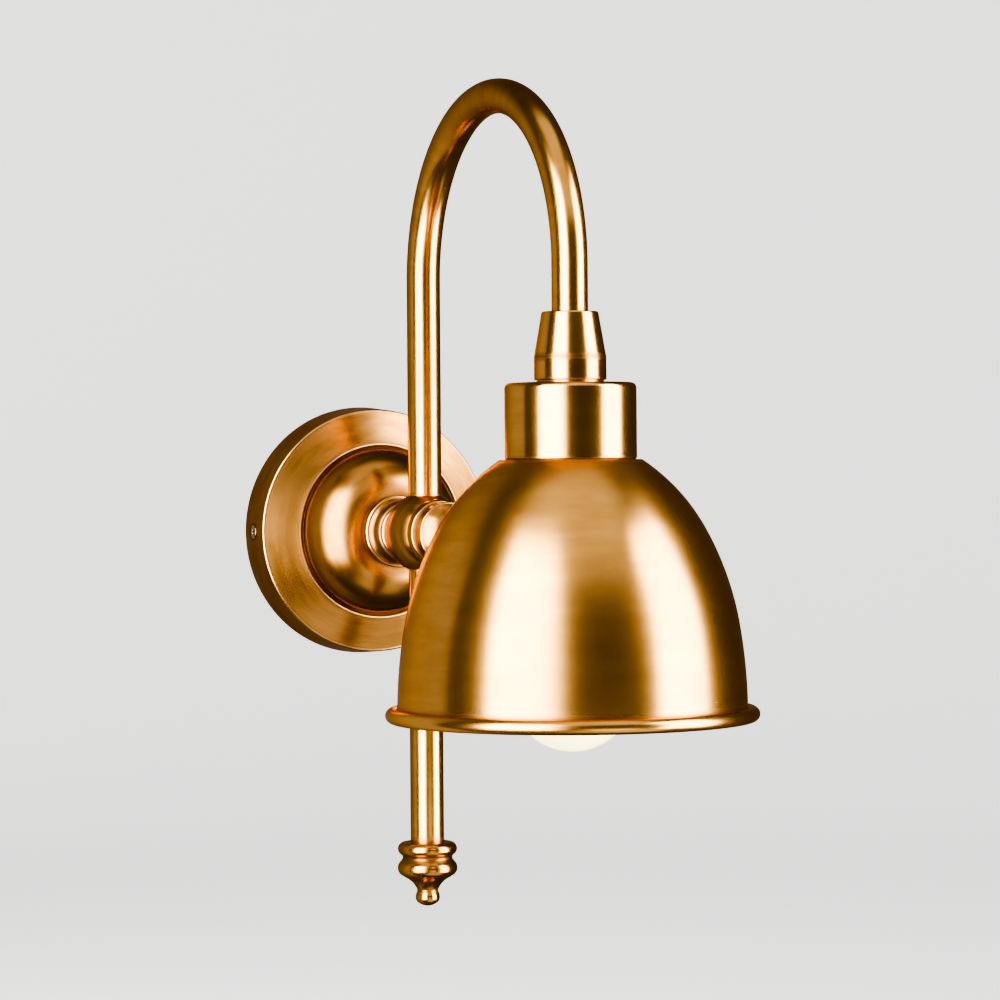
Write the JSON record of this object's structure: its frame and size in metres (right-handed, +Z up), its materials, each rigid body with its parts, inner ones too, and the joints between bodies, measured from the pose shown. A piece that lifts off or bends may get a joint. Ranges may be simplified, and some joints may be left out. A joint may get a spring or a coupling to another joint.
{
  "type": "gooseneck wall sconce",
  "caption": "Brass gooseneck wall light: round wall plate, swivelling ball knuckle, arched tube with finial tail, spun dome shade and golf-ball lamp.",
  "frame": {"origin": "centre of the wall strap's fixing slots, on the wall plane at the centre of the wall plate's back", "axes": "+Z up, +Y into the wall, so the light stands out along -Y; +X to the right of someone facing the wall"},
  "size_m": [0.1324, 0.2632, 0.3134],
  "materials": {
    "antique_brass": "satin antique brushed",
    "raw_brass": "turned, bright",
    "zinc_steel": "bright zinc plate",
    "screw_steel": "nickel plate",
    "spring_steel": "spring temper",
    "fibre": "vulcanised fibre",
    "block_nylon": "moulded",
    "holder_black": "moulded phenolic",
    "ceramic": "glazed",
    "lead_sleeve": "heat-proof sleeve",
    "supply_sleeve": "extruded",
    "opal_glass": "opal",
    "lamp_white": "moulded",
    "lamp_nickel": "nickel plate",
    "vitrite": "glassy black",
    "solder": "soldered",
    "board": "white mask"
  },
  "bodies": {
    "wall_mount": {"backplate": "antique_brass", "mounting_bracket": "zinc_steel", "backplate_side_screws": "screw_steel", "earth_cup_washer": "raw_brass", "earth_screw": "raw_brass", "terminal_block": "block_nylon", "terminal_sleeves": "raw_brass", "terminal_screws": "screw_steel", "terminal_block_screw": "screw_steel", "arm_collar": "antique_brass", "swivel_stop_pin": "spring_steel", "swivel_friction_washer": "fibre", "supply_leads": "supply_sleeve"},
    "arm": {"swivel_spigot": "raw_brass", "swivel_stop_washer": "zinc_steel", "swivel_wave_washer": "spring_steel", "swivel_locknut": "zinc_steel", "knuckle_ball": "antique_brass", "knuckle_cap": "antique_brass", "gooseneck_tube": "antique_brass", "lower_stem": "antique_brass", "finial": "antique_brass", "lampholder_cap": "antique_brass", "threaded_nipple": "zinc_steel", "gallery_spacer": "raw_brass", "shade_gallery": "antique_brass", "gallery_washer": "zinc_steel", "gallery_nut": "zinc_steel", "shade": "antique_brass", "lampholder_body": "holder_black", "lampholder_insert": "ceramic", "holder_screw_shell": "raw_brass", "holder_centre_contact": "raw_brass", "holder_terminals": "raw_brass", "holder_terminal_screws": "screw_steel", "lamp_leads": "lead_sleeve"},
    "lamp": {"lamp_globe": "opal_glass", "lamp_collar": "lamp_white", "lamp_screw_cap": "lamp_nickel", "lamp_cap_insulator": "vitrite", "lamp_tip_contact": "solder", "lamp_led_board": "board"}
  },
  "joints": [
    {"name": "arm_swivel", "type": "hinge", "parent": "wall_mount", "child": "arm", "pos_m": [0, -0.066, 0], "axis": [0, -1, 0], "range_deg": [-30, 30]},
    {"name": "lamp_release", "type": "slide", "parent": "arm", "child": "lamp", "axis": [0, 0, -1], "range_m": [0, 0.026]}
  ]
}
